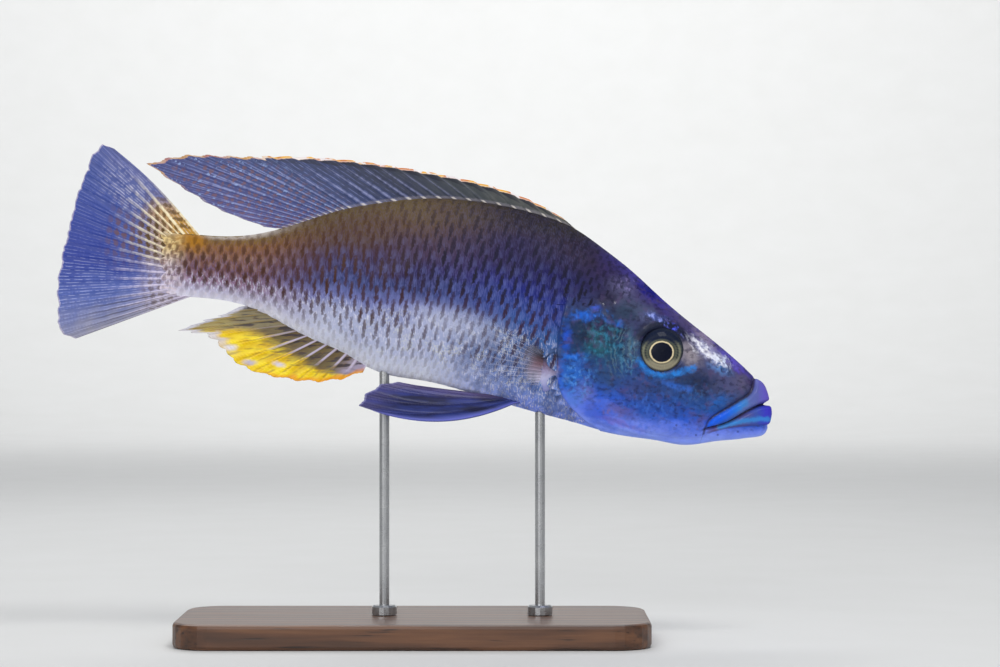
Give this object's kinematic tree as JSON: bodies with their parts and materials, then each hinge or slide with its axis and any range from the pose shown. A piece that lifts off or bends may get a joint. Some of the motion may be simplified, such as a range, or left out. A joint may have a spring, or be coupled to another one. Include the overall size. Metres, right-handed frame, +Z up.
{
  "type": "malawi eye-biter",
  "caption": "Life-size still model of a flat-sided hunting cichlid with spread fins, held nose down by rods on a plain display base.",
  "frame": {"origin": "on the floor under the middle of the model's box, at the underside of the base", "axes": "+X the way the fish faces, +Y its left side, +Z up"},
  "size_m": [0.2288, 0.0712, 0.1584],
  "materials": {
    "head_skin": "moist painted skin, teal blue and violet",
    "gill_cover_skin": "moist painted skin, dark teal blue",
    "lip_skin": "moist painted skin, bright blue violet",
    "scaled_skin": "scaled skin, olive brown back, mauve flank, pale belly",
    "eye_ball": "glossy, grey gold iris round a black pupil",
    "dorsal_fin_skin": "thin fin, lavender blue with a yellow edge",
    "anal_fin_skin": "thin fin, yellow with pale spots",
    "caudal_fin_skin": "thin fin, lavender blue with brown spots",
    "pectoral_fin_skin": "thin clear fin",
    "pelvic_fin_skin": "thin fin, dark blue violet",
    "stand_wood": "dark oiled wood",
    "stand_metal": "satin steel"
  },
  "bodies": {
    "root": {"head": "head_skin", "upper_jaw": "lip_skin", "lower_jaw": "lip_skin", "gill_cover_left": "gill_cover_skin", "gill_cover_right": "gill_cover_skin", "trunk": "scaled_skin", "tail_stalk": "scaled_skin", "eye_left": "eye_ball", "eye_right": "eye_ball", "dorsal_fin": "dorsal_fin_skin", "anal_fin": "anal_fin_skin", "caudal_fin": "caudal_fin_skin", "pectoral_fin_left": "pectoral_fin_skin", "pectoral_fin_right": "pectoral_fin_skin", "pelvic_fin_left": "pelvic_fin_skin", "pelvic_fin_right": "pelvic_fin_skin", "stand_base": "stand_wood", "stand_rod_front": "stand_metal", "stand_rod_rear": "stand_metal"}
  },
  "joints": []
}
